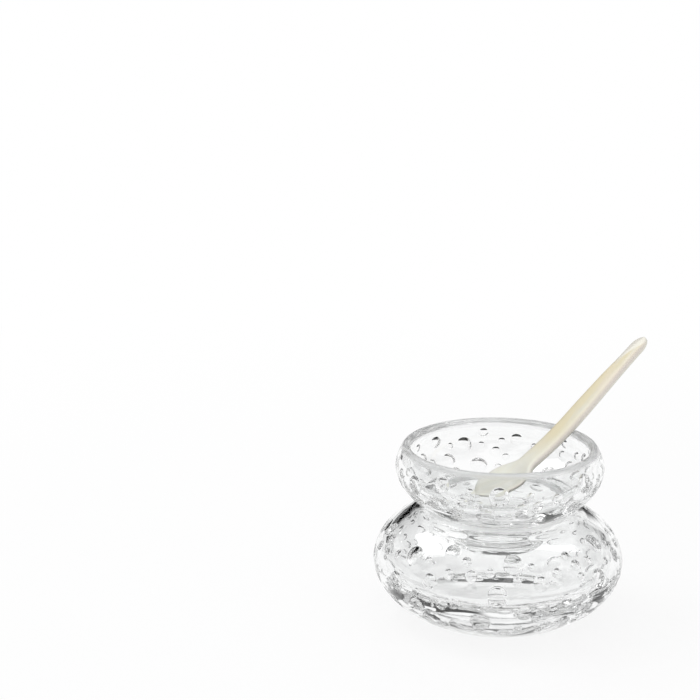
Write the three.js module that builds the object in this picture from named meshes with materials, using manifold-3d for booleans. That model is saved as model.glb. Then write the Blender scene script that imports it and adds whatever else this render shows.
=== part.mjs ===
// Two-tier caviar server: an ice bowl, a caviar bowl that seats on its lip, and a mother-of-pearl spoon.
// Millimetres, +Z up, origin at the centre of the flat base, viewer on the -Y side.
import * as THREE from 'three';
import { mergeVertices } from 'three/addons/utils/BufferGeometryUtils.js';
import Module from 'manifold-3d';

const wasm = await Module();
wasm.setup();

// Fit shared by every pair of pieces that rest on each other
const seatGap = 0.3;

// Ice bowl
const iceRadius = 57.5; // at the widest ring
const iceBulge = 26; // height of the widest ring
const iceBaseRadius = 34.7; // flat ground base
const iceBaseBevel = 0.8;
const iceWall = 5;
const iceFloor = 8;
const iceShoulderRadius = 43; // the side turns into a flatter shoulder here
const iceLipRadius = 32; // crest of the rounded lip
const iceLipRise = 3.2; // crest above the start of the shoulder
const iceLipRound = 2;

// Caviar bowl, heights measured from its widest ring
const bowlRadius = 47.8;
const bowlDepth = 25.8; // half height of the full round body
const bowlRimRise = 9.2; // end of the outer side, below the rounded rim
const bowlRimThickness = 4;
const bowlWall = 4.5;
const bowlInnerDepth = 19.3;
const footRadius = 20.3;
const footEdge = 2;
const footBevel = 0.8;
const footDrop = 36.8; // bottom of the foot below the widest ring
const waistRadius = 13;
const waistDrop = 27.8; // narrowest ring of the foot below the widest ring
const flareRadius = 24; // the foot runs out into the round body here

// Hollow lens cuts on both bowls
const cutRadii = [4.8, 2.8, 3.8];
const cutSlope = 0.33; // depth of a cut over its radius
const cutOvershoot = 1.25; // of the ball past the edge of a cut, so that it leaves the surface cleanly
const iceCutCount = 64;
const iceCutLow = 6;
const iceCutHigh = 44.5;
const bowlCutCount = 42;
const bowlCutLow = -16.5; // from the widest ring
const bowlCutHigh = 3.2;

// Spoon
const spoonLength = 111;
const spoonHeadHalf = 12.5; // half width that the oval head adds to the handle
const spoonHeadMiddle = 15.8; // from the tip
const spoonHeadTail = 13; // from the middle of the head to its end in the handle
const spoonNeckHalf = 6.5; // half width where the handle leaves the head
const spoonEndHalf = 5.2; // half width near the far end
const spoonEndRound = 6;
const spoonThickness = 3.8;
const spoonDish = 2.8;
const spoonBendStart = 60; // from the tip, where the head starts to turn up
const spoonTipRise = 10; // of the tip above the line of the handle
const spoonFacetStart = 80; // from the tip, where the flat facet of the far end begins at one edge
const spoonFacetWidth = 1.25; // of the facet at the far end, in half widths
const spoonFacetFall = 1; // of the facet at the far end's edge, in half thicknesses
const spoonHeading = 29.7 * Math.PI / 180; // direction of the handle in plan, from +X towards +Y
const spoonOffset = 7.6; // upright plane of the spoon beside the axis of the bowls
const spoonReach = 7.2; // of the tip past the axis of the bowls

// Curve shapes, as shares of the width that a curve bridges
const lipPull = 0.45;
const waistPull = 0.6;
const spoonDishSpan = 2.1; // length of the hollow, in distances from the tip to the middle of the head
const spoonEndThickness = 0.35; // left at the tip and at the far end, in full thicknesses

// Mesh fineness
const turnSegments = 48;
const cutSegments = 8;
const spoonStations = 30;
const spoonAcross = 5;

const goldenAngle = Math.PI * (3 - Math.sqrt(5));

function ellipsePoint(radius, height, middle, angle) {
  return new THREE.Vector2(radius * Math.cos(angle), middle + height * Math.sin(angle));
}

function ellipseArc(radius, height, middle, from, to, steps) {
  const points = [];
  for (let i = 0; i <= steps; i++) {
    points.push(ellipsePoint(radius, height, middle, from + (to - from) * i / steps));
  }
  return points;
}

function ellipseTangent(radius, height, angle) {
  return new THREE.Vector2(-radius * Math.sin(angle), height * Math.cos(angle)).normalize();
}

function blend(start, startPull, endPull, end, steps) {
  const curve = new THREE.CubicBezierCurve(start, startPull, endPull, end);
  return curve.getPoints(steps);
}

function chain(...runs) {
  const points = [];
  for (const point of runs.flat()) {
    if (points.length === 0 || point.distanceTo(points[points.length - 1]) > 1e-4) {
      points.push(point);
    }
  }
  return points;
}

const at = (r, z) => new THREE.Vector2(r, z);

// Ice bowl section. Above and below the widest ring the side is one ellipse that meets the base edge.
const iceDepth = iceBulge / Math.sqrt(1 - (iceBaseRadius / iceRadius) ** 2);
const iceShoulderAngle = Math.acos(iceShoulderRadius / iceRadius);
const iceShoulder = ellipsePoint(iceRadius, iceDepth, iceBulge, iceShoulderAngle);
const iceLipHeight = iceShoulder.y + iceLipRise;
const iceMouthRadius = iceLipRadius - iceLipRound;

function iceLipCurve() {
  const pull = (iceShoulderRadius - iceLipRadius) * lipPull;
  const along = ellipseTangent(iceRadius, iceDepth, iceShoulderAngle).multiplyScalar(pull);
  const crest = at(iceLipRadius, iceLipHeight);
  const crestPull = at(iceLipRadius + pull, iceLipHeight);
  const shoulder = blend(iceShoulder, iceShoulder.clone().add(along), crestPull, crest, 4);
  const lip = ellipseArc(iceLipRound, iceLipRound, iceLipHeight - iceLipRound, Math.PI / 2, Math.PI, 4)
    .map((p) => at(iceLipRadius + p.x, p.y));
  return chain(shoulder, lip);
}

function iceSection() {
  const baseAngle = -Math.asin(iceBulge / iceDepth);
  const bevelAngle = -Math.asin((iceBulge - iceBaseBevel) / iceDepth);
  const base = [at(0, 0), at(ellipsePoint(iceRadius, iceDepth, iceBulge, baseAngle).x - iceBaseBevel, 0)];
  const side = ellipseArc(iceRadius, iceDepth, iceBulge, bevelAngle, iceShoulderAngle, 12);
  const innerRadius = iceRadius - iceWall;
  const innerHeight = iceDepth - iceWall;
  const innerStart = ellipsePoint(innerRadius, innerHeight, iceBulge, iceShoulderAngle);
  const mouth = at(iceMouthRadius, iceLipHeight - iceLipRound);
  const pull = (innerStart.x - mouth.x) * lipPull;
  const along = ellipseTangent(innerRadius, innerHeight, iceShoulderAngle).multiplyScalar(pull);
  const mouthPull = at(mouth.x, mouth.y - iceLipRound);
  const throat = blend(mouth, mouthPull, innerStart.clone().add(along), innerStart, 3);
  const upperInside = ellipseArc(innerRadius, innerHeight, iceBulge, iceShoulderAngle, 0, 4);
  const lowerInside = ellipseArc(innerRadius, iceBulge - iceFloor, iceBulge, 0, -Math.PI / 2, 7);
  lowerInside[lowerInside.length - 1].x = 0;
  return chain(base, side, iceLipCurve(), throat, upperInside, lowerInside);
}

// The caviar bowl is lowered until its underside, grown by the gap, meets the lip of the ice bowl.
const bowlBulge = Math.max(...iceLipCurve().map((p) => {
  const inside = Math.max(0, 1 - (p.x / (bowlRadius + seatGap)) ** 2);
  return p.y + (bowlDepth + seatGap) * Math.sqrt(inside);
}));

const bowlRimAngle = Math.asin(bowlRimRise / bowlDepth);
const bowlRimOuter = ellipsePoint(bowlRadius, bowlDepth, bowlBulge, bowlRimAngle);
const bowlRimNormal = at(Math.cos(bowlRimAngle) / bowlRadius, Math.sin(bowlRimAngle) / bowlDepth).normalize();
const bowlRimMiddle = bowlRimOuter.clone().addScaledVector(bowlRimNormal, -bowlRimThickness / 2);
const bowlRimInner = bowlRimOuter.clone().addScaledVector(bowlRimNormal, -bowlRimThickness);
const bowlInnerRadius = bowlRadius - bowlWall;

function bowlSection() {
  const footBottom = bowlBulge - footDrop;
  const foot = [
    at(0, footBottom),
    at(footRadius - footBevel, footBottom),
    at(footRadius, footBottom + footBevel),
    at(footRadius, footBottom + footEdge),
  ];
  const waist = at(waistRadius, bowlBulge - waistDrop);
  const edge = foot[3];
  const spread = (footRadius - waistRadius) * waistPull;
  const lowerWaist = blend(edge, at(edge.x - spread, edge.y), at(waist.x, (edge.y + waist.y) / 2), waist, 4);
  const flareAngle = -Math.acos(flareRadius / bowlRadius);
  const flare = ellipsePoint(bowlRadius, bowlDepth, bowlBulge, flareAngle);
  const pull = (flareRadius - waistRadius) * waistPull;
  const along = ellipseTangent(bowlRadius, bowlDepth, flareAngle).multiplyScalar(pull);
  const upperWaist = blend(waist, at(waist.x, (waist.y + flare.y) / 2), flare.clone().sub(along), flare, 4);
  const side = ellipseArc(bowlRadius, bowlDepth, bowlBulge, flareAngle, bowlRimAngle, 10);
  const normalAngle = bowlRimNormal.angle();
  const rim = ellipseArc(1, 1, 0, normalAngle, normalAngle + Math.PI, 5)
    .map((p) => bowlRimMiddle.clone().addScaledVector(p, bowlRimThickness / 2));
  const innerAngle = Math.acos(bowlRimInner.x / bowlInnerRadius);
  const innerRise = (bowlRimInner.y - bowlBulge) / Math.sin(innerAngle);
  const upperInside = ellipseArc(bowlInnerRadius, innerRise, bowlBulge, innerAngle, 0, 3);
  const lowerInside = ellipseArc(bowlInnerRadius, bowlInnerDepth, bowlBulge, 0, -Math.PI / 2, 8);
  lowerInside[lowerInside.length - 1].x = 0;
  return chain(foot, lowerWaist, upperWaist, side, rim, upperInside, lowerInside);
}

function solidFrom(geometry) {
  geometry.deleteAttribute('normal');
  geometry.deleteAttribute('uv');
  const merged = mergeVertices(geometry, 1e-5);
  const index = merged.index.array;
  const kept = [];
  for (let i = 0; i < index.length; i += 3) {
    const [a, b, c] = [index[i], index[i + 1], index[i + 2]];
    if (a !== b && b !== c && c !== a) {
      kept.push(a, b, c);
    }
  }
  const vertProperties = new Float32Array(merged.attributes.position.array);
  return new wasm.Manifold(new wasm.Mesh({ numProp: 3, vertProperties, triVerts: new Uint32Array(kept) }));
}

function geometryFrom(solid) {
  const mesh = solid.getMesh();
  const geometry = new THREE.BufferGeometry();
  geometry.setAttribute('position', new THREE.BufferAttribute(new Float32Array(mesh.vertProperties), 3));
  geometry.setIndex(new THREE.BufferAttribute(new Uint32Array(mesh.triVerts), 1));
  geometry.computeVertexNormals();
  return geometry;
}

function turned(section, segments) {
  const geometry = new THREE.LatheGeometry(section, segments);
  geometry.rotateX(Math.PI / 2);
  return geometry;
}

// A grinding wheel leaves a hollow shaped like part of a ball.
// The tool is that part, with a lid outside the bowl.
function lensTool(radius) {
  const depth = radius * cutSlope;
  const ball = (radius ** 2 + depth ** 2) / (2 * depth);
  const reach = Math.asin(radius / ball) * cutOvershoot;
  const cap = ellipseArc(ball, ball, ball - depth, -Math.PI / 2, -Math.PI / 2 + reach, 2);
  cap[0].x = 0;
  return turned([...cap, at(0, radius)], cutSegments);
}

// Cuts of three sizes are scattered over a band of the round side, each turned on by the golden angle.
function lensCuts(radius, depth, middle, low, high, count) {
  const tools = [];
  const lowAngle = Math.asin((low - middle) / depth);
  const highAngle = Math.asin((high - middle) / depth);
  for (let i = 0; i < count; i++) {
    const angle = lowAngle + (highAngle - lowAngle) * (i + 0.5) / count;
    const spot = ellipsePoint(radius, depth, middle, angle);
    const turn = goldenAngle * i;
    const out = at(Math.cos(angle) / radius, Math.sin(angle) / depth).normalize();
    const normal = new THREE.Vector3(out.x * Math.cos(turn), out.x * Math.sin(turn), out.y);
    const tool = lensTool(cutRadii[i % cutRadii.length]);
    tool.applyQuaternion(new THREE.Quaternion().setFromUnitVectors(new THREE.Vector3(0, 0, 1), normal));
    tool.translate(spot.x * Math.cos(turn), spot.x * Math.sin(turn), spot.y);
    tools.push(solidFrom(tool));
  }
  return wasm.Manifold.union(tools);
}

const iceBlank = solidFrom(turned(iceSection(), turnSegments));
const iceCuts = lensCuts(iceRadius, iceDepth, iceBulge, iceCutLow, iceCutHigh, iceCutCount);
const bowlBlank = solidFrom(turned(bowlSection(), turnSegments));
const bowlCuts = lensCuts(
  bowlRadius, bowlDepth, bowlBulge, bowlBulge + bowlCutLow, bowlBulge + bowlCutHigh, bowlCutCount,
);

// Spoon in its own frame: x runs from the tip along the handle, z is up.
function spoonHalfWidth(x) {
  const beforeMiddle = x < spoonHeadMiddle;
  const fromMiddle = (x - spoonHeadMiddle) / (beforeMiddle ? spoonHeadMiddle : spoonHeadTail);
  const fullness = Math.max(0, 1 - fromMiddle ** 2);
  const head = spoonHeadHalf * (beforeMiddle ? Math.sqrt(fullness) : fullness);
  const along = THREE.MathUtils.smoothstep(x, spoonBendStart, spoonLength - 2 * spoonEndRound);
  const intoEnd = Math.max(0, x - spoonLength + spoonEndRound) / spoonEndRound;
  const start = Math.min(1, x / spoonHeadMiddle);
  const handle = start * (spoonNeckHalf + (spoonEndHalf - spoonNeckHalf) * along);
  return Math.hypot(head, handle * Math.sqrt(Math.max(0, 1 - intoEnd ** 2)));
}

function spoonMiddleLine(x) {
  return spoonTipRise * (Math.max(0, spoonBendStart - x) / spoonBendStart) ** 2;
}

function spoonDishDepth(x) {
  const along = THREE.MathUtils.clamp(x / (spoonDishSpan * spoonHeadMiddle), 0, 1);
  return spoonDish * Math.sin(Math.PI * along) ** 2;
}

// The far end has a flat facet on its upper face that widens from one edge, where it falls the most.
function spoonFacet(x, across) {
  const along = THREE.MathUtils.clamp((x - spoonFacetStart) / (spoonLength - spoonFacetStart), 0, 1);
  return Math.max(0, across - 1 + spoonFacetWidth * along) / spoonFacetWidth;
}

function spoonHeight(x, across, side) {
  const hollow = spoonDishDepth(x) * (1 - across ** 2);
  const toEnd = Math.min(x, spoonLength - x);
  const taper = Math.sqrt(THREE.MathUtils.clamp(toEnd / spoonEndRound, 0, 1));
  const fullness = spoonEndThickness + (1 - spoonEndThickness) * taper;
  const half = spoonThickness / 2 * fullness * Math.sqrt(1 - across ** 4);
  const upper = side > 0 ? 1 - spoonFacetFall * spoonFacet(x, across) : 1;
  return spoonMiddleLine(x) - hollow + side * half * upper;
}

// The spoon leans in one upright plane: its head on the inside of the bowl, its handle over the rim.
const floorDepth = bowlInnerDepth - seatGap;
const floorRadius = bowlInnerRadius - seatGap;
const acrossSteps = [-0.9, -0.6, -0.3, 0, 0.3, 0.6, 0.9];

function spoonPlace(tilt) {
  const along = spoonTipRise * Math.sin(tilt) - spoonReach;
  let lift = -Infinity;
  for (let x = 0; x <= spoonBendStart; x += 0.5) {
    for (const across of acrossSteps) {
      const z = spoonHeight(x, across, -1);
      const forward = along + x * Math.cos(tilt) - z * Math.sin(tilt);
      const sideways = spoonOffset + spoonHalfWidth(x) * across;
      const inside = Math.max(0, 1 - (forward ** 2 + sideways ** 2) / floorRadius ** 2);
      const floor = bowlBulge - floorDepth * Math.sqrt(inside);
      lift = Math.max(lift, floor - x * Math.sin(tilt) - z * Math.cos(tilt));
    }
  }
  return { tilt, along, lift };
}

function rimClearance({ tilt, along, lift }) {
  const clearances = acrossSteps.map((across) => {
    const sideways = spoonOffset + spoonNeckHalf * across;
    const forward = Math.sqrt(bowlRimMiddle.x ** 2 - sideways ** 2);
    const above = (forward - along) * Math.sin(tilt) - (bowlRimMiddle.y - lift) * Math.cos(tilt);
    return above + spoonHeight(spoonLength / 2, across, -1);
  });
  return Math.min(...clearances) - bowlRimThickness / 2 - seatGap;
}

function spoonPose() {
  let low = 0.1;
  let high = 1.2;
  for (let i = 0; i < 40; i++) {
    const middle = (low + high) / 2;
    if (rimClearance(spoonPlace(middle)) > 0) {
      high = middle;
    } else {
      low = middle;
    }
  }
  return spoonPlace(high);
}

function spoonGeometry() {
  const points = [];
  const triangles = [];
  const ring = 4 * spoonAcross;
  const stations = [];
  for (let i = 1; i < spoonStations; i++) {
    stations.push(spoonLength * (1 - Math.cos(Math.PI * i / spoonStations)) / 2);
  }
  for (const x of stations) {
    for (let k = 0; k < ring; k++) {
      const turn = 2 * Math.PI * k / ring;
      const across = Math.cos(turn);
      const side = Math.sign(Math.round(1e6 * Math.sin(turn)));
      points.push(x, spoonHalfWidth(x) * across, spoonHeight(x, across, side));
    }
  }
  const tip = points.length / 3;
  points.push(0, 0, spoonHeight(0, 0, 0), spoonLength, 0, spoonHeight(spoonLength, 0, 0));
  const last = (stations.length - 1) * ring;
  for (let k = 0; k < ring; k++) {
    const next = (k + 1) % ring;
    for (let i = 0; i < stations.length - 1; i++) {
      const [a, b] = [i * ring + k, i * ring + next];
      triangles.push(a, b, a + ring, b, b + ring, a + ring);
    }
    triangles.push(tip, next, k);
    triangles.push(tip + 1, last + k, last + next);
  }
  const geometry = new THREE.BufferGeometry();
  geometry.setAttribute('position', new THREE.Float32BufferAttribute(points, 3));
  geometry.setIndex(triangles);
  return geometry;
}

const pose = spoonPose();
const spoonSolid = spoonGeometry();
spoonSolid.rotateY(-pose.tilt);
spoonSolid.translate(pose.along, spoonOffset, pose.lift);
spoonSolid.rotateZ(spoonHeading);
spoonSolid.computeVertexNormals();

const crystal = new THREE.MeshStandardMaterial({ color: 0xe9eef0, roughness: 0.04, metalness: 0 });
const shell = new THREE.MeshStandardMaterial({ color: 0xf0e9d2, roughness: 0.22, metalness: 0 });

function named(name, geometry, material) {
  const mesh = new THREE.Mesh(geometry, material);
  mesh.name = name;
  return mesh;
}

const server = new THREE.Group();
server.name = 'caviar_server';
server.add(named('ice_bowl', geometryFrom(iceBlank.subtract(iceCuts)), crystal));
server.add(named('caviar_bowl', geometryFrom(bowlBlank.subtract(bowlCuts)), crystal));
server.add(named('spoon', spoonSolid, shell));

export default server;
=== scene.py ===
import math
import bmesh
import bpy
from mathutils import Matrix, Vector


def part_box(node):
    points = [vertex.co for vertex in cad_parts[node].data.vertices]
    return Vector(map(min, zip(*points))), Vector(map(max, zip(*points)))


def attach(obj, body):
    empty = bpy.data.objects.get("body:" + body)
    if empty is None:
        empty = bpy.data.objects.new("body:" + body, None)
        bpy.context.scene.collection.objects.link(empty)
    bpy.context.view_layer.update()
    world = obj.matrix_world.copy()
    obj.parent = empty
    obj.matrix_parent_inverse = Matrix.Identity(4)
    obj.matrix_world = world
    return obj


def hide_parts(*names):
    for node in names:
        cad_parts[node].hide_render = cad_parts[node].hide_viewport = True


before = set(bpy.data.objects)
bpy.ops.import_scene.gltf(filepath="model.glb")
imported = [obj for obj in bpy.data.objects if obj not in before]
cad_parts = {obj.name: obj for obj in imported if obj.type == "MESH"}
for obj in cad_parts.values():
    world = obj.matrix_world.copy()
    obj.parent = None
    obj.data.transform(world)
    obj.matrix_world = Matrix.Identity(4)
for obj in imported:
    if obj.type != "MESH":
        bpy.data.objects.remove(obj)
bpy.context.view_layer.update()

mm = 0.001  # sizes below are millimetres, meshes are metres
tiny = 1e-6  # radii and sines under this are nought
samePoint = 1e-4  # points of a section closer than this are one
white = (1.0, 1.0, 1.0, 1.0)
scene = bpy.context.scene


# Shader wiring

class Wire:  # an output socket that can be used in sums

    def __init__(self, graph, socket):
        self.graph = graph
        self.socket = socket

    def sums(self, operation, first, second):
        return self.graph.make("ShaderNodeMath", {"operation": operation}, {0: first, 1: second})

    def __add__(self, other):
        return self.sums("ADD", self, other)

    def __radd__(self, other):
        return self.sums("ADD", other, self)

    def __sub__(self, other):
        return self.sums("SUBTRACT", self, other)

    def __rsub__(self, other):
        return self.sums("SUBTRACT", other, self)

    def __mul__(self, other):
        return self.sums("MULTIPLY", self, other)

    def __rmul__(self, other):
        return self.sums("MULTIPLY", other, self)


class Graph:  # one node tree

    def __init__(self, owner):
        owner.use_nodes = True
        self.tree = owner.node_tree
        self.tree.nodes.clear()

    # a node from its settings, its input values or wires, and the output that is wanted
    def make(self, kind, settings=None, values=None, output=0):
        node = self.tree.nodes.new(kind)
        for name, value in (settings or {}).items():
            setattr(node, name, value)
        for name, value in (values or {}).items():
            if isinstance(value, Wire):
                self.tree.links.new(value.socket, node.inputs[name])
            else:
                node.inputs[name].default_value = value
        if output is None or not node.outputs:
            return node
        return Wire(self, node.outputs[output])

    def blend(self, factor, first, second):  # two colours by a factor, on the Mix node's colour sockets
        mix = {"data_type": "RGBA", "clamp_factor": True}
        return self.make("ShaderNodeMix", mix, {0: factor, 6: first, 7: second}, 2)

    def step(self, value, low, high):  # 0 below low, 1 above high, smooth between
        ease = {"interpolation_type": "SMOOTHSTEP"}
        return self.make("ShaderNodeMapRange", ease, {"Value": value, "From Min": low, "From Max": high})

    def noise(self, place, scale, detail, distortion=0.0):
        values = {"Vector": place, "Scale": scale, "Detail": detail, "Distortion": distortion}
        return self.make("ShaderNodeTexNoise", None, values, "Fac")


# Shapes: a section is a list of (radius, height) points

def clamp(value, low, high):
    return max(low, min(high, value))


def ellipsePoint(radius, height, middle, angle):
    return Vector((radius * math.cos(angle), middle + height * math.sin(angle)))


def ellipseArc(radius, height, middle, start, end, steps):
    angles = [start + (end - start) * i / steps for i in range(steps + 1)]
    return [ellipsePoint(radius, height, middle, angle) for angle in angles]


def ellipseTangent(radius, height, angle):
    return Vector((-radius * math.sin(angle), height * math.cos(angle))).normalized()


def ellipseNormal(radius, height, angle):
    return Vector((math.cos(angle) / radius, math.sin(angle) / height)).normalized()


def ease(start, startPull, endPull, end, steps):  # a cubic curve that leaves and arrives along its pulls
    points = []
    for i in range(steps + 1):
        t = i / steps
        u = 1 - t
        points.append(start * u ** 3 + startPull * (3 * u * u * t) + endPull * (3 * u * t * t) + end * t ** 3)
    return points


def chain(*runs):  # joins curves, without the points that two of them share
    points = []
    for run in runs:
        for point in run:
            if not points or (point - points[-1]).length > samePoint:
                points.append(point)
    return points


def at(r, z):
    return Vector((r, z))


def turned(section, segments):  # a closed solid of revolution in a bmesh
    mesh = bmesh.new()
    rings = []
    angles = [2 * math.pi * i / segments for i in range(segments)]
    for r, z in section:
        if r < tiny:
            rings.append([mesh.verts.new((0.0, 0.0, z * mm))] * segments)
            continue
        rings.append([mesh.verts.new((r * math.cos(a) * mm, r * math.sin(a) * mm, z * mm)) for a in angles])
    for low, high in zip(rings, rings[1:]):
        for i in range(segments):
            j = (i + 1) % segments
            corners = [low[i], low[j], high[j], high[i]]
            mesh.faces.new(list(dict.fromkeys(corners)))
    return mesh


def addObject(name, mesh, material=None):
    data = bpy.data.meshes.new(name)
    mesh.to_mesh(data)
    mesh.free()
    obj = bpy.data.objects.new(name, data)
    scene.collection.objects.link(obj)
    if material:
        data.materials.append(material)
    return obj


def smoothed(obj, sharpAngle):  # smooth faces, hard edges where the surface turns sharply
    mesh = bmesh.new()
    mesh.from_mesh(obj.data)
    for face in mesh.faces:
        face.smooth = True
    for edge in mesh.edges:
        edge.smooth = len(edge.link_faces) != 2 or edge.calc_face_angle() < sharpAngle
    mesh.to_mesh(obj.data)
    mesh.free()


# Lens cuts

lensCut = {
    "radii": (4.8, 2.8, 3.8),
    "fineRadii": (2.5, 1.9, 2.2),
    "fineStart": 0.37,  # turn of the fine spiral against the main one, in steps
    "steepest": math.radians(36),  # slope at the rim of the hollow
    "flattest": math.radians(6),  # slope where the rounded edge runs out
    "edgeRound": 0.3,  # rounding of the polished edge, over the radius
    "skirt": 0.35,  # run-out past the edge, over the radius
    "gap": 0.5,
    "segments": 36,
    "ballRings": 6,
    "edgeRings": 5,
    "sharpAngle": math.radians(30),
}
goldenAngle = math.pi * (3 - math.sqrt(5))


def lensSection(radius):  # hollow of the grinding ball, then an edge that polishing has rounded
    c = lensCut
    edge = c["edgeRound"] * radius
    ball = (radius - edge * (math.sin(c["steepest"]) - math.sin(c["flattest"]))) / math.sin(c["steepest"])
    hollow = ellipseArc(ball, ball, ball, -math.pi / 2, c["steepest"] - math.pi / 2, c["ballRings"])
    turn = math.pi / 2 + c["steepest"], math.pi / 2 + c["flattest"]
    start = hollow[-1] - ellipsePoint(edge, edge, 0, turn[0])
    rounded = [start + p for p in ellipseArc(edge, edge, 0, *turn, c["edgeRings"])]
    runOut = rounded[-1] + at(math.cos(c["flattest"]), math.sin(c["flattest"])) * (c["skirt"] * radius)
    hollow[0].x = 0.0
    section = chain(hollow, rounded, [runOut, at(0, runOut.y + radius)])
    return [p - at(0, rounded[-1].y) for p in section]


def lensTool(radius, spot, normal, b):  # the hollow laid on the bulge, following its curve
    tool = turned(lensSection(radius), lensCut["segments"])
    turn = Vector((0, 0, 1)).rotation_difference(normal).to_matrix()
    middle = Vector((0, 0, b["bulge"]))
    shape = Vector((1 / b["radius"] ** 2, 1 / b["radius"] ** 2, 1 / b["depth"] ** 2))
    for vertex in tool.verts:
        x, y, z = vertex.co / mm
        out = spot + turn @ Vector((x, y, 0)) - middle
        out /= math.sqrt((out * out).dot(shape))
        vertex.co = (middle + out + (out * shape).normalized() * z) * mm
    return tool


def lensSpot(b, angle, turn):  # place on the bulge, and the way out of it
    r = b["radius"] * math.cos(angle)
    spot = Vector((r * math.cos(turn), r * math.sin(turn), b["bulge"] + b["depth"] * math.sin(angle)))
    out = ellipseNormal(b["radius"], b["depth"], angle)
    return spot, Vector((out.x * math.cos(turn), out.x * math.sin(turn), out.y))


def lensSpiral(b, radii, count, start):  # rises evenly from the lowest cut to the highest
    low = math.asin((b["cutLow"] - b["bulge"]) / b["depth"])
    high = math.asin((b["cutHigh"] - b["bulge"]) / b["depth"])
    for i in range(count):
        angle = low + (high - low) * (i + 0.5) / count
        yield *lensSpot(b, angle, goldenAngle * (i + start)), radii[i % len(radii)]


def lensPlaces(b):  # all the main cuts, then fine ones wherever there is room
    c = lensCut
    places = list(lensSpiral(b, c["radii"], b["cutCount"], 0))
    for spot, normal, radius in lensSpiral(b, c["fineRadii"], b["fineCount"], c["fineStart"]):
        if all((spot - other).length > radius + size + c["gap"] for other, _, size in places):
            places.append((spot, normal, radius))
    return places


def lensCuts(name, b):
    joined = bmesh.new()
    for spot, normal, radius in lensPlaces(b):
        tool = lensTool(radius, spot, normal, b)
        piece = bpy.data.meshes.new("lensTool")
        tool.to_mesh(piece)
        tool.free()
        joined.from_mesh(piece)
        bpy.data.meshes.remove(piece)
    return addObject(name, joined)


def ground(obj, cutter):  # cuts the lenses out of a blank
    boolean = obj.modifiers.new("lenses", "BOOLEAN")
    boolean.operation = "DIFFERENCE"
    boolean.solver = "MANIFOLD"
    boolean.object = cutter
    blank = obj.data
    obj.data = bpy.data.meshes.new_from_object(obj.evaluated_get(bpy.context.evaluated_depsgraph_get()))
    obj.modifiers.clear()
    bpy.data.meshes.remove(blank)
    bpy.data.objects.remove(cutter)
    smoothed(obj, lensCut["sharpAngle"])


# Crystal

crystalLook = {
    "ior": 1.545,
    "faint": (0.972, 0.982, 0.98, 1.0),
    "wave": (70.0, 1.0, 0.4),  # noises as scale, detail and distortion
    "waveBump": 0.35,
    "waveDepth": 0.00004,
    "marks": (420.0, 4.0),
    "markRange": (0.52, 0.8),
    "markRoughness": 0.018,
    "rimRoughness": 0.29,  # fire-polished rims are softer than the cut walls
    "rimReach": 1.3,  # from the middle of the rim's round, over its radius
    "rimFade": 0.25,
}


def crystalMaterial():
    look = crystalLook
    material = bpy.data.materials.new("cut_crystal")
    g = Graph(material)
    place = g.make("ShaderNodeTexCoord", None, None, "Object")
    wave = g.noise(place, *look["wave"])  # slow waviness of hand-blown walls
    marks = g.step(g.noise(place, *look["marks"]), *look["markRange"])  # faint handling marks
    rim = g.make("ShaderNodeAttribute", {"attribute_name": "rim"}, None, "Fac")
    bump = g.make("ShaderNodeBump", None, {
        "Strength": look["waveBump"],
        "Distance": look["waveDepth"],
        "Height": wave,
    })
    shader = g.make("ShaderNodeBsdfPrincipled", None, {
        "Base Color": g.blend(wave, white, look["faint"]),
        "Roughness": marks * look["markRoughness"] + rim * look["rimRoughness"],
        "IOR": look["ior"],
        "Transmission Weight": 1.0,
        "Normal": bump,
    })
    g.make("ShaderNodeOutputMaterial", None, {"Surface": shader})
    return material


def markRim(obj, middle, radius):  # 1 on the round of the rim, 0 a little below it
    look = crystalLook
    obj.data.attributes.new("rim", "FLOAT", "POINT")
    marks = obj.data.attributes["rim"].data
    for vertex in obj.data.vertices:
        x, y, z = vertex.co / mm
        far = (at(math.hypot(x, y), z) - middle).length
        marks[vertex.index].value = clamp((look["rimReach"] - far / radius) / look["rimFade"], 0, 1)


crystal = crystalMaterial()
print("crystal ready")


# Ice bowl

iceBowl = {
    "radius": 57.5,
    "bulge": 26.0,
    "baseRadius": 34.7,
    "baseBevel": 0.8,
    "flatInset": 1.5,  # ring inside the bevel, over its width, that keeps the base flat
    "wall": 5.0,
    "floor": 8.0,
    "shoulderRadius": 43.0,
    "lipRadius": 32.0,
    "lipRise": 3.2,
    "lipRound": 2.0,
    "pull": 0.45,  # of the eased curves from side to lip, over their width
    "cutCount": 64,
    "fineCount": 150,
    "cutLow": 6.0,
    "cutHigh": 44.5,
    "segments": 240,
    "bevelSteps": 6,
    "sideSteps": 70,
    "topSteps": 16,
    "lipSteps": 10,
    "throatSteps": 14,
    "upperInsideSteps": 18,
    "lowerInsideSteps": 32,
}
iceBowl["depth"] = iceBowl["bulge"] / math.sqrt(1 - (iceBowl["baseRadius"] / iceBowl["radius"]) ** 2)


def iceShoulderAngle():
    return math.acos(iceBowl["shoulderRadius"] / iceBowl["radius"])


def iceLipMiddle():
    b = iceBowl
    shoulder = ellipsePoint(b["radius"], b["depth"], b["bulge"], iceShoulderAngle())
    return at(b["lipRadius"], shoulder.y + b["lipRise"] - b["lipRound"])


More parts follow.
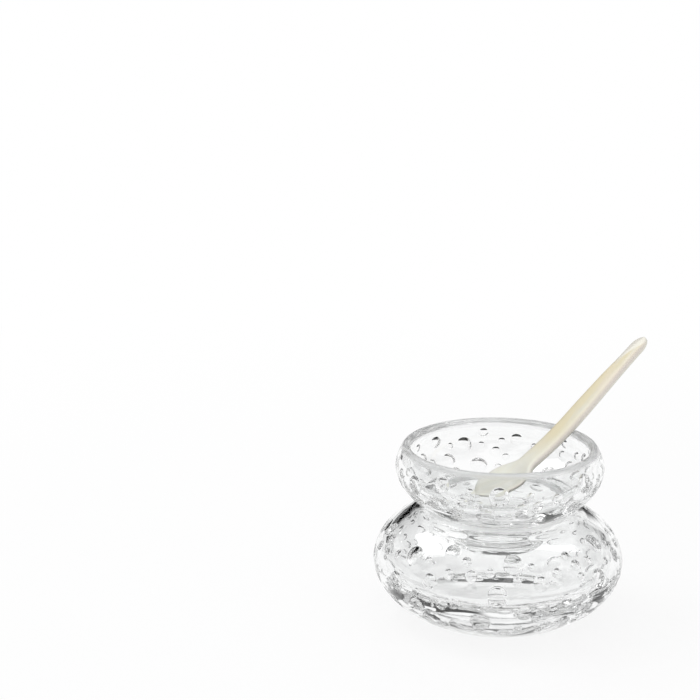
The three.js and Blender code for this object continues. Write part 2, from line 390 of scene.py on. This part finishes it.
def iceSection():
    b = iceBowl
    shoulderAngle = iceShoulderAngle()
    bevelAngle = -math.asin((b["bulge"] - b["baseBevel"]) / b["depth"])
    flatRadius = b["baseRadius"] - b["baseBevel"] * b["flatInset"]
    base = [at(0, 0), at(b["baseRadius"] / 2, 0), at(flatRadius, 0)]
    side = ellipseArc(b["radius"], b["depth"], b["bulge"], bevelAngle, shoulderAngle, b["sideSteps"])
    flat = at(b["baseRadius"] - b["baseBevel"], 0)
    upBevel = ellipseTangent(b["radius"], b["depth"], bevelAngle) * b["baseBevel"]
    bevel = ease(flat, flat + at(b["baseBevel"], 0), side[0] - upBevel, side[0], b["bevelSteps"])
    shoulder = side[-1]
    lipMiddle = iceLipMiddle()
    crest = lipMiddle + at(0, b["lipRound"])
    pull = (b["shoulderRadius"] - b["lipRadius"]) * b["pull"]
    along = ellipseTangent(b["radius"], b["depth"], shoulderAngle) * pull
    top = ease(shoulder, shoulder + along, crest + at(pull, 0), crest, b["topSteps"])
    lipRound = ellipseArc(b["lipRound"], b["lipRound"], 0, math.pi / 2, math.pi, b["lipSteps"])
    lip = [lipMiddle + p for p in lipRound]
    innerRadius = b["radius"] - b["wall"]
    innerHeight = b["depth"] - b["wall"]
    innerStart = ellipsePoint(innerRadius, innerHeight, b["bulge"], shoulderAngle)
    mouth = lip[-1]
    pull = (innerStart.x - mouth.x) * b["pull"]
    along = ellipseTangent(innerRadius, innerHeight, shoulderAngle) * pull
    throat = ease(mouth, mouth - at(0, b["lipRound"]), innerStart + along, innerStart, b["throatSteps"])
    upperInside = ellipseArc(innerRadius, innerHeight, b["bulge"], shoulderAngle, 0, b["upperInsideSteps"])
    innerDepth = b["bulge"] - b["floor"]
    lowerInside = ellipseArc(innerRadius, innerDepth, b["bulge"], 0, -math.pi / 2, b["lowerInsideSteps"])
    lowerInside[-1].x = 0.0
    return chain(base, bevel, side, top, lip, throat, upperInside, lowerInside)


def buildIceBowl():
    b = iceBowl
    bowl = addObject("ice_bowl_crystal", turned(iceSection(), b["segments"]), crystal)
    ground(bowl, lensCuts("iceCuts", b))
    markRim(bowl, iceLipMiddle(), b["lipRound"])
    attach(bowl, "lower")
    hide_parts("ice_bowl")
    print("ice bowl", len(bowl.data.polygons), "faces")


buildIceBowl()


# Caviar bowl, heights from its widest ring

caviarBowl = {
    "radius": 47.8,
    "depth": 25.8,
    "rimRise": 9.2,
    "rimThickness": 4.0,
    "wall": 4.5,
    "innerDepth": 19.3,
    "footRadius": 20.3,
    "footEdge": 2.0,
    "footBevel": 0.8,
    "footDrop": 36.8,
    "waistRadius": 13.0,
    "waistDrop": 27.8,
    "flareRadius": 24.0,
    "pull": 0.6,  # of the eased curves of the waist, over their width
    "cutCount": 42,
    "fineCount": 150,
    "cutDrop": 16.5,
    "cutRise": 3.2,
    "segments": 256,
    "waistSteps": 18,
    "sideSteps": 60,
    "rimSteps": 16,
    "upperInsideSteps": 14,
    "lowerInsideSteps": 44,
}
caviarBowl["bulge"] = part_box("caviar_bowl")[0].z / mm + caviarBowl["footDrop"]
caviarBowl["cutLow"] = caviarBowl["bulge"] - caviarBowl["cutDrop"]
caviarBowl["cutHigh"] = caviarBowl["bulge"] + caviarBowl["cutRise"]
caviarBowl["innerRadius"] = caviarBowl["radius"] - caviarBowl["wall"]
rimAngle = math.asin(caviarBowl["rimRise"] / caviarBowl["depth"])
rimOuter = ellipsePoint(caviarBowl["radius"], caviarBowl["depth"], caviarBowl["bulge"], rimAngle)
rimNormal = ellipseNormal(caviarBowl["radius"], caviarBowl["depth"], rimAngle)
rimMiddle = rimOuter - rimNormal * (caviarBowl["rimThickness"] / 2)
rimInner = rimOuter - rimNormal * caviarBowl["rimThickness"]


def caviarSection():
    b = caviarBowl
    bottom = b["bulge"] - b["footDrop"]
    foot = [
        at(0, bottom),
        at(b["footRadius"] / 2, bottom),
        at(b["footRadius"] - b["footBevel"], bottom),
        at(b["footRadius"], bottom + b["footBevel"]),
        at(b["footRadius"], bottom + b["footEdge"]),
    ]
    edge = foot[-1]
    waist = at(b["waistRadius"], b["bulge"] - b["waistDrop"])
    spread = (b["footRadius"] - b["waistRadius"]) * b["pull"]
    towardsWaist = at(waist.x, (edge.y + waist.y) / 2)
    lowerWaist = ease(edge, edge - at(spread, 0), towardsWaist, waist, b["waistSteps"])
    flareAngle = -math.acos(b["flareRadius"] / b["radius"])
    flare = ellipsePoint(b["radius"], b["depth"], b["bulge"], flareAngle)
    spread = (b["flareRadius"] - b["waistRadius"]) * b["pull"]
    along = ellipseTangent(b["radius"], b["depth"], flareAngle) * spread
    fromWaist = at(waist.x, (waist.y + flare.y) / 2)
    upperWaist = ease(waist, fromWaist, flare - along, flare, b["waistSteps"])
    side = ellipseArc(b["radius"], b["depth"], b["bulge"], flareAngle, rimAngle, b["sideSteps"])
    turn = math.atan2(rimNormal.y, rimNormal.x)
    rimRound = ellipseArc(1, 1, 0, turn, turn + math.pi, b["rimSteps"])
    rim = [rimMiddle + p * (b["rimThickness"] / 2) for p in rimRound]
    innerAngle = math.acos(rimInner.x / b["innerRadius"])
    innerRise = (rimInner.y - b["bulge"]) / math.sin(innerAngle)
    upperInside = ellipseArc(b["innerRadius"], innerRise, b["bulge"], innerAngle, 0, b["upperInsideSteps"])
    inside = b["innerRadius"], b["innerDepth"], b["bulge"]
    lowerInside = ellipseArc(*inside, 0, -math.pi / 2, b["lowerInsideSteps"])
    lowerInside[-1].x = 0.0
    return chain(foot, lowerWaist, upperWaist, side, rim, upperInside, lowerInside)


def buildCaviarBowl():
    b = caviarBowl
    bowl = addObject("caviar_bowl_crystal", turned(caviarSection(), b["segments"]), crystal)
    ground(bowl, lensCuts("caviarCuts", b))
    markRim(bowl, rimMiddle, b["rimThickness"] / 2)
    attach(bowl, "upper")
    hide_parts("caviar_bowl")
    print("caviar bowl", len(bowl.data.polygons), "faces")


buildCaviarBowl()


# Spoon, in its own frame: x from the tip along the handle, z up

spoon = {
    "length": 111.0,
    "headHalf": 12.5,
    "headMiddle": 15.8,
    "headTail": 13.0,
    "neckHalf": 6.5,
    "endHalf": 5.2,
    "endRound": 6.0,
    "thickness": 3.8,
    "endThickness": 0.35,  # at the tip and the far end, over the thickness
    "squareness": 4,  # 2 would make the section of the shell an ellipse
    "dish": 2.8,
    "dishLength": 2.1,  # over the distance from the tip to the middle of the head
    "bendStart": 60.0,
    "tipRise": 10.0,
    "facetStart": 80.0,
    "facetWidth": 1.25,
    "facetFall": 1.0,
    "heading": math.radians(29.7),
    "offset": 7.6,
    "reach": 7.2,
    "gap": 0.3,
    "tryStep": 0.5,  # contact is tried at these steps along, and at these shares of the half width
    "tryAcross": (-0.9, -0.6, -0.3, 0.0, 0.3, 0.6, 0.9),
    "tiltRange": (0.1, 1.2),
    "tiltTries": 30,
    "stations": 200,
    "ring": 64,
    "sharpAngle": math.radians(40),
}


def spoonHalfWidth(x):
    s = spoon
    if x < s["headMiddle"]:  # half an ellipse to the tip
        head = math.sqrt(max(0.0, 1 - ((x - s["headMiddle"]) / s["headMiddle"]) ** 2))
    else:  # a parabola into the handle
        head = max(0.0, 1 - ((x - s["headMiddle"]) / s["headTail"]) ** 2)
    k = clamp((x - s["bendStart"]) / (s["length"] - 2 * s["endRound"] - s["bendStart"]), 0, 1)
    along = k * k * (3 - 2 * k)
    intoEnd = max(0.0, x - s["length"] + s["endRound"]) / s["endRound"]
    handle = min(1.0, x / s["headMiddle"]) * (s["neckHalf"] + (s["endHalf"] - s["neckHalf"]) * along)
    return math.hypot(s["headHalf"] * head, handle * math.sqrt(max(0.0, 1 - intoEnd ** 2)))


def spoonHeight(x, across, side):  # side is 1 above, -1 below and 0 on the edge
    s = spoon
    line = s["tipRise"] * (max(0.0, s["bendStart"] - x) / s["bendStart"]) ** 2
    alongDish = clamp(x / (s["dishLength"] * s["headMiddle"]), 0, 1)
    hollow = s["dish"] * math.sin(math.pi * alongDish) ** 2 * (1 - across ** 2)
    taper = math.sqrt(clamp(min(x, s["length"] - x) / s["endRound"], 0, 1))
    thick = s["endThickness"] + (1 - s["endThickness"]) * taper
    half = s["thickness"] / 2 * thick * math.sqrt(max(0.0, 1 - across ** s["squareness"]))
    if side > 0:  # flat facet towards the far end
        along = clamp((x - s["facetStart"]) / (s["length"] - s["facetStart"]), 0, 1)
        half *= 1 - s["facetFall"] * max(0.0, across - 1 + s["facetWidth"] * along) / s["facetWidth"]
    return line - hollow + side * half


def spoonPlace(tilt):  # lowers the tilted spoon until its head meets the inside of the bowl
    s, b = spoon, caviarBowl
    along = s["tipRise"] * math.sin(tilt) - s["reach"]
    lift = -math.inf
    for i in range(int(s["bendStart"] / s["tryStep"]) + 1):
        x = i * s["tryStep"]
        for across in s["tryAcross"]:
            z = spoonHeight(x, across, -1)
            forward = along + x * math.cos(tilt) - z * math.sin(tilt)
            sideways = s["offset"] + spoonHalfWidth(x) * across
            inside = max(0.0, 1 - (forward ** 2 + sideways ** 2) / (b["innerRadius"] - s["gap"]) ** 2)
            floor = b["bulge"] - (b["innerDepth"] - s["gap"]) * math.sqrt(inside)
            lift = max(lift, floor - x * math.sin(tilt) - z * math.cos(tilt))
    return along, lift


def rimClearance(tilt):  # from the underside of the handle to the rim, less the gap
    s, b = spoon, caviarBowl
    along, lift = spoonPlace(tilt)
    clearances = []
    for across in s["tryAcross"]:
        sideways = s["offset"] + s["neckHalf"] * across
        forward = math.sqrt(rimMiddle.x ** 2 - sideways ** 2)
        above = (forward - along) * math.sin(tilt) - (rimMiddle.y - lift) * math.cos(tilt)
        clearances.append(above + spoonHeight(s["length"] / 2, across, -1))
    return min(clearances) - b["rimThickness"] / 2 - s["gap"]


def spoonPose():  # the tilt at which the handle also meets the rim
    low, high = spoon["tiltRange"]
    for _ in range(spoon["tiltTries"]):
        middle = (low + high) / 2
        if rimClearance(middle) > 0:
            high = middle
        else:
            low = middle
    along, lift = spoonPlace(high)
    place = Matrix.Rotation(spoon["heading"], 4, "Z")
    place = place @ Matrix.Translation(Vector((along, spoon["offset"], lift)) * mm)
    return place @ Matrix.Rotation(-high, 4, "Y")


def spoonMesh():
    s = spoon
    mesh = bmesh.new()
    rings = []
    for i in range(1, s["stations"]):
        x = s["length"] * (1 - math.cos(math.pi * i / s["stations"])) / 2
        half = spoonHalfWidth(x)
        ring = []
        for k in range(s["ring"]):
            turn = 2 * math.pi * k / s["ring"]
            across = math.cos(turn)
            side = 0.0 if abs(math.sin(turn)) < tiny else math.copysign(1.0, math.sin(turn))
            place = Vector((x, half * across, spoonHeight(x, across, side)))
            ring.append(mesh.verts.new(place * mm))
        rings.append(ring)
    tip = mesh.verts.new(Vector((0, 0, spoonHeight(0, 0, 0))) * mm)
    end = mesh.verts.new(Vector((s["length"], 0, spoonHeight(s["length"], 0, 0))) * mm)
    for k in range(s["ring"]):
        n = (k + 1) % s["ring"]
        for low, high in zip(rings, rings[1:]):
            mesh.faces.new((low[k], low[n], high[n], high[k]))
        mesh.faces.new((tip, rings[0][n], rings[0][k]))
        mesh.faces.new((end, rings[-1][k], rings[-1][n]))
    return mesh


shellLook = {
    "cream": (0.8, 0.71, 0.505, 1.0),
    "white": (0.77, 0.73, 0.625, 1.0),
    "highlightColour": (0.91, 0.87, 0.79, 1.0),  # painted highlight on the thin edges and the facet at the far end
    "head": (0.84, 0.835, 0.775, 1.0),
    "rose": (0.86, 0.74, 0.71, 1.0),
    "sky": (0.74, 0.76, 0.8, 1.0),
    "headFade": (0.022, 0.05),  # the head is whiter than the handle, in metres from the tip
    "sideFade": (-0.0055, 0.0015),  # white on one side of the handle, creamy on the other
    "sideWander": 0.006,
    "stretch": (0.25, 1.0, 1.0),  # the grain runs along the spoon
    "cloud": (130.0, 3.0, 0.8),  # noises as scale, detail and distortion
    "cloudMiddle": 0.5,
    "blush": (70.0, 2.0, 1.5),
    "blushRange": (0.5, 0.72),
    "sheen": (95.0, 2.0, 2.2),
    "sheenRange": (0.52, 0.75),
    "tintShare": 0.3,
    "layers": {"Scale": 45.0, "Distortion": 4.0, "Detail": 2.0, "Detail Scale": 1.0},
    "layerShare": 0.12,
    "layerBump": 0.12,
    "layerDepth": 0.0001,
    # painted highlight on the facet at the far end, along and across the handle
    "facetFrom": 88.0,
    "facetTo": 108.0,
    "facetSlant": 2.0,
    "edgeHighlightFrom": 0.8,  # painted highlight on the thin edges starts here, as a share of the half width
    "edgeHighlightShare": 0.8,
    "highlightFade": 0.2,
    "leastHalf": 0.1,  # keeps the half width off nought at both ends
    "roughness": 0.31,
    "roughSpread": 0.14,
    "filmThickness": 495.0,
    "filmIor": 1.58,
}


def shellMaterial():
    look = shellLook
    material = bpy.data.materials.new("mother_of_pearl")
    g = Graph(material)
    grain = g.make("ShaderNodeAttribute", {"attribute_name": "grain"}, None, "Vector")  # along, across, up
    parts = g.make("ShaderNodeSeparateXYZ", None, {0: grain}, None)
    along, across = (Wire(g, parts.outputs[axis]) for axis in "XY")
    # share of painted highlight on the facet and the thin edges
    painted_highlight = g.make("ShaderNodeAttribute", {"attribute_name": "painted_highlight"}, None, "Fac")
    stretched = g.make("ShaderNodeMapping", None, {"Vector": grain, "Scale": look["stretch"]})
    cloud = g.noise(stretched, *look["cloud"])
    bands = {"bands_direction": "Y", "wave_profile": "SIN"}
    layers = g.make("ShaderNodeTexWave", bands, {"Vector": stretched, **look["layers"]}, "Fac")
    side = g.step(across + (cloud - look["cloudMiddle"]) * look["sideWander"], *look["sideFade"])
    handle = g.blend(side, look["white"], look["cream"])
    body = g.blend(g.step(along, *look["headFade"]), look["head"], handle)
    blush = g.step(g.noise(stretched, *look["blush"]), *look["blushRange"])
    sheen = g.step(g.noise(stretched, *look["sheen"]), *look["sheenRange"])
    body = g.blend(blush * look["tintShare"], body, look["rose"])
    body = g.blend(sheen * look["tintShare"], body, look["sky"])
    body = g.blend(layers * look["layerShare"], body, look["cream"])
    # painted highlight: the facet and the thin edges lightened towards the highlight colour
    body = g.blend(painted_highlight, body, look["highlightColour"])
    bump = g.make("ShaderNodeBump", None, {
        "Strength": look["layerBump"],
        "Distance": look["layerDepth"],
        "Height": layers,
    })
    shader = g.make("ShaderNodeBsdfPrincipled", None, {
        "Base Color": body,
        "Roughness": look["roughness"] + cloud * look["roughSpread"],
        "Normal": bump,
        "Thin Film Thickness": look["filmThickness"],
        "Thin Film IOR": look["filmIor"],
    })
    g.make("ShaderNodeOutputMaterial", None, {"Surface": shader})
    return material


def paintedHighlightShare(point):  # share of painted highlight: 1 on the facet, a little less on the thin edges
    look = shellLook
    x, y = point.x / mm, point.y / mm
    across = y / max(spoonHalfWidth(x), look["leastHalf"])
    along = (x - look["facetFrom"]) / (look["facetTo"] - look["facetFrom"])
    facet = clamp((across - 1 + look["facetSlant"] * along) / look["highlightFade"], 0, 1)
    edge = clamp((abs(across) - look["edgeHighlightFrom"]) / look["highlightFade"], 0, 1)
    return max(facet, edge * look["edgeHighlightShare"])


def buildSpoon():
    obj = addObject("spoon_shell", spoonMesh(), shellMaterial())
    obj.data.attributes.new("grain", "FLOAT_VECTOR", "POINT")
    # the grain, and the share of painted highlight at each point
    obj.data.attributes.new("painted_highlight", "FLOAT", "POINT")
    for vertex in obj.data.vertices:
        obj.data.attributes["grain"].data[vertex.index].vector = vertex.co
        obj.data.attributes["painted_highlight"].data[vertex.index].value = paintedHighlightShare(vertex.co)
    obj.data.transform(spoonPose())
    smoothed(obj, spoon["sharpAngle"])
    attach(obj, "spoon")
    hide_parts("spoon")
    print("spoon", len(obj.data.polygons), "faces")


buildSpoon()


# Studio: pale table, white surroundings with a few dark cards for the crystal, soft light

studio = {
    "tableRadius": 2.4,
    "tableSegments": 96,
    "tableDrop": 0.0002,
    "tableColour": (0.93, 0.93, 0.94, 1.0),
    "tableRoughness": 0.35,
    "tableGloss": 0.3,
    "tableGlow": 0.88,  # share of the table that is plain white to camera and crystal
    "glowFade": (0.16, 0.6),  # distances over which that share rises to all of it
    "ambient": 0.8,
    "roomTop": (0.17, 0.22),  # the room and the cards end over these ranges of a direction's x or z
    "roomSide": (0.25, 0.36),
    "cardNoise": (1.0, 0.0),
    "cardScale": (4.0, 4.0, 3.2),
    "cardShift": (15.6, 0.0, 0.0),
    "cardCover": (0.42, 0.48),
    "cardFoot": (0.05, 0.11),
    "cardTop": (0.75, 0.87),
    "cardGap": (-0.05, 0.88, 0.46),  # direction with no card
    "cardGapSize": (0.12, 0.22),
    "keyPower": 4.5,
    "keyPlace": (-0.7, 0.25, 1.05),
    "keyAim": (0.0, 0.0, 0.05),
    "keySize": 0.7,
}


def clearRay(g):  # 1 for camera rays, then 1 for these and for rays that crystal mirrors or bends
    path = g.make("ShaderNodeLightPath", None, None, None)
    names = "Is Camera Ray", "Is Glossy Ray", "Is Transmission Ray"
    camera, mirrored, bent = (Wire(g, path.outputs[name]) for name in names)
    return camera, 1 - (1 - camera) * (1 - mirrored) * (1 - bent)


def buildTable():
    mesh = bmesh.new()
    size = {"radius": studio["tableRadius"], "segments": studio["tableSegments"]}
    bmesh.ops.create_circle(mesh, cap_ends=True, **size)
    material = bpy.data.materials.new("table")
    material.cycles.emission_sampling = "NONE"  # its glow is for camera and crystal only, and lights nothing
    table = addObject("table", mesh, material)
    table.location.z = -studio["tableDrop"]
    g = Graph(material)
    place = g.make("ShaderNodeTexCoord", None, None, "Object")
    far = g.make("ShaderNodeVectorMath", {"operation": "LENGTH"}, {0: place}, "Value")
    fade = g.step(far, *studio["glowFade"])
    share = studio["tableGlow"] + (1 - studio["tableGlow"]) * fade
    _, clear = clearRay(g)
    matt = g.make("ShaderNodeBsdfPrincipled", None, {
        "Base Color": studio["tableColour"],
        "Roughness": studio["tableRoughness"],
        "Specular IOR Level": studio["tableGloss"],
    })
    glow = g.make("ShaderNodeEmission", None, {"Color": white, "Strength": 1.0})
    lit = g.make("ShaderNodeMixShader", None, {0: clear * share, 1: matt, 2: glow})
    g.make("ShaderNodeOutputMaterial", None, {"Surface": lit})


def buildWorld():
    world = bpy.data.worlds.new("studio")
    world.cycles.sampling_method = "NONE"  # even light has less noise without lamp samples
    scene.world = world
    g = Graph(world)
    place = g.make("ShaderNodeTexCoord", None, None, "Generated")
    parts = g.make("ShaderNodeSeparateXYZ", None, {0: place}, None)
    x, z = (Wire(g, parts.outputs[axis]) for axis in "XZ")
    # dark room past the table
    room = (1 - g.step(z, *studio["roomTop"])) * (1 - g.step(x, *studio["roomSide"]))
    # dark cards above it
    spots = g.make("ShaderNodeMapping", None, {
        "Vector": place,
        "Location": studio["cardShift"],
        "Scale": studio["cardScale"],
    })
    cards = g.step(g.noise(spots, *studio["cardNoise"]), *studio["cardCover"])
    cards = cards * g.step(z, *studio["cardFoot"]) * (1 - g.step(z, *studio["cardTop"]))
    ends = {0: place, 1: studio["cardGap"]}
    fromGap = g.make("ShaderNodeVectorMath", {"operation": "DISTANCE"}, ends, "Value")
    cards = cards * g.step(fromGap, *studio["cardGapSize"])
    bright = (1 - room) * (1 - cards)
    camera, clear = clearRay(g)
    strength = camera + (clear - camera) * bright + (1 - clear) * studio["ambient"]
    background = g.make("ShaderNodeBackground", None, {"Color": white, "Strength": strength})
    g.make("ShaderNodeOutputWorld", None, {"Surface": background})


def buildKey():
    light = bpy.data.lights.new("key", "AREA")
    light.energy = studio["keyPower"]
    light.size = studio["keySize"]
    key = bpy.data.objects.new("key", light)
    scene.collection.objects.link(key)
    key.location = studio["keyPlace"]
    key.rotation_mode = "QUATERNION"
    key.rotation_quaternion = (Vector(studio["keyAim"]) - key.location).to_track_quat("-Z", "Y")


buildTable()
buildWorld()
buildKey()
print("studio ready")


# Camera at the photograph's place, aimed so that the ice bowl's widest ring lies at its own pixel

view = {
    "frameWidth": 700,
    "ringPixel": (499.0, 556.0),
    "metresPerPixel": 0.4665 * mm,
    "distance": 1.1,
    "elevation": math.radians(19.96),
    "roll": math.radians(0.4),
    "sensor": 36.0,
}


def buildCamera():
    v = view
    focal = v["distance"] / v["metresPerPixel"]  # in pixels
    right = v["ringPixel"][0] - v["frameWidth"] / 2
    down = v["ringPixel"][1] - v["frameWidth"] / 2
    reach = math.sqrt(right ** 2 + down ** 2 + focal ** 2)
    pitch = math.asin(reach * math.sin(v["elevation"]) / math.hypot(focal, down)) - math.atan(down / focal)
    yaw = math.atan2(right, focal * math.cos(pitch) - down * math.sin(pitch))
    ring = Vector((0, 0, iceBowl["bulge"] * mm))
    eye = ring + v["distance"] * Vector((0, -math.cos(v["elevation"]), math.sin(v["elevation"])))
    ahead = Vector((-math.sin(yaw) * math.cos(pitch), math.cos(yaw) * math.cos(pitch), -math.sin(pitch)))
    level = Vector((math.cos(yaw), math.sin(yaw), 0))
    upright = level.cross(ahead)
    side = level * math.cos(v["roll"]) + upright * math.sin(v["roll"])
    up = upright * math.cos(v["roll"]) - level * math.sin(v["roll"])
    data = bpy.data.cameras.new("camera")
    data.sensor_width = v["sensor"]
    data.lens = focal / v["frameWidth"] * v["sensor"]
    camera = bpy.data.objects.new("camera", data)
    scene.collection.objects.link(camera)
    turn = Matrix((side, up, -ahead)).transposed()
    camera.matrix_world = Matrix.Translation(eye) @ turn.to_4x4()
    scene.camera = camera


buildCamera()
scene.view_settings.view_transform = "Standard"
bounces = 32  # enough for light to get through both bowls
scene.cycles.max_bounces = bounces
scene.cycles.glossy_bounces = bounces
scene.cycles.transmission_bounces = bounces
print("camera ready")
